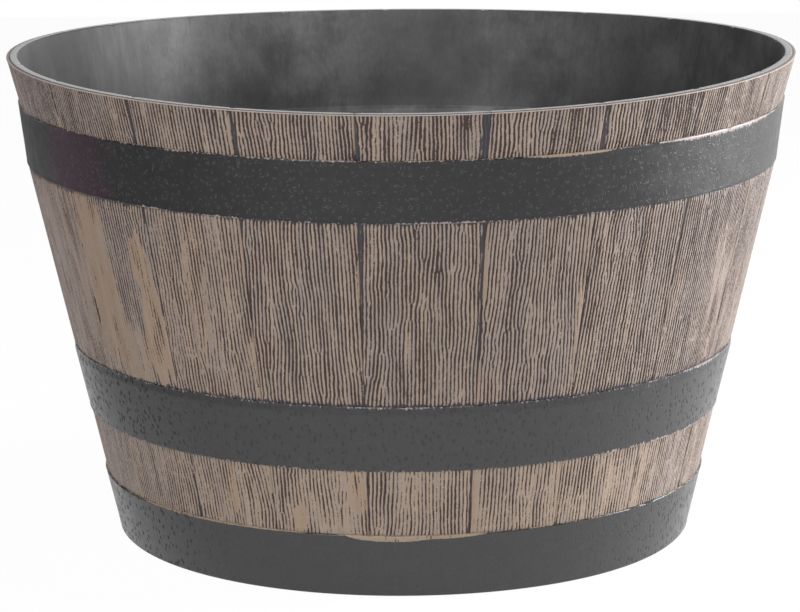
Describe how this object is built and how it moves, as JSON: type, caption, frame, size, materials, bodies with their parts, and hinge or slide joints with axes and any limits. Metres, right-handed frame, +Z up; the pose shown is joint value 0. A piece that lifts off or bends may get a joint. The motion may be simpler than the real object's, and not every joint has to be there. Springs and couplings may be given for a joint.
{
  "type": "barrel planter",
  "caption": "Round half-barrel planter with a flared wall of wood-effect staves, dark hammered hoops, a flat grey rim and a lift-out drain plug.",
  "frame": {"origin": "middle of the foot, on the ground", "axes": "+Z up along the barrel's axis; -Y is the side in the picture; round, so X and Y differ only by where a stave joint falls"},
  "size_m": [0.56, 0.56, 0.344],
  "materials": {
    "resin_grey": "smooth dark grey moulded resin, soft sheen, pale worn rim",
    "wood_effect_resin": "tan painted ridges over dark wavy wood grain",
    "hoop_resin": "dark grey, hammered with small pits, satin",
    "plug_rubber": "black moulded rubber"
  },
  "bodies": {
    "planter": {"tub": "resin_grey", "stave_01": "wood_effect_resin", "stave_02": "wood_effect_resin", "stave_03": "wood_effect_resin", "stave_04": "wood_effect_resin", "stave_05": "wood_effect_resin", "stave_06": "wood_effect_resin", "stave_07": "wood_effect_resin", "stave_08": "wood_effect_resin", "stave_09": "wood_effect_resin", "stave_10": "wood_effect_resin", "stave_11": "wood_effect_resin", "stave_12": "wood_effect_resin", "stave_13": "wood_effect_resin", "stave_14": "wood_effect_resin", "stave_15": "wood_effect_resin", "stave_16": "wood_effect_resin", "stave_17": "wood_effect_resin", "stave_18": "wood_effect_resin", "stave_19": "wood_effect_resin", "stave_20": "wood_effect_resin", "stave_21": "wood_effect_resin", "hoop_upper": "hoop_resin", "hoop_middle": "hoop_resin", "hoop_foot": "hoop_resin"},
    "plug": {"drain_plug": "plug_rubber"}
  },
  "joints": [
    {"name": "plug_lift", "type": "slide", "parent": "planter", "child": "plug", "axis": [0, 0, 1], "range_m": [0, 0.04]}
  ]
}
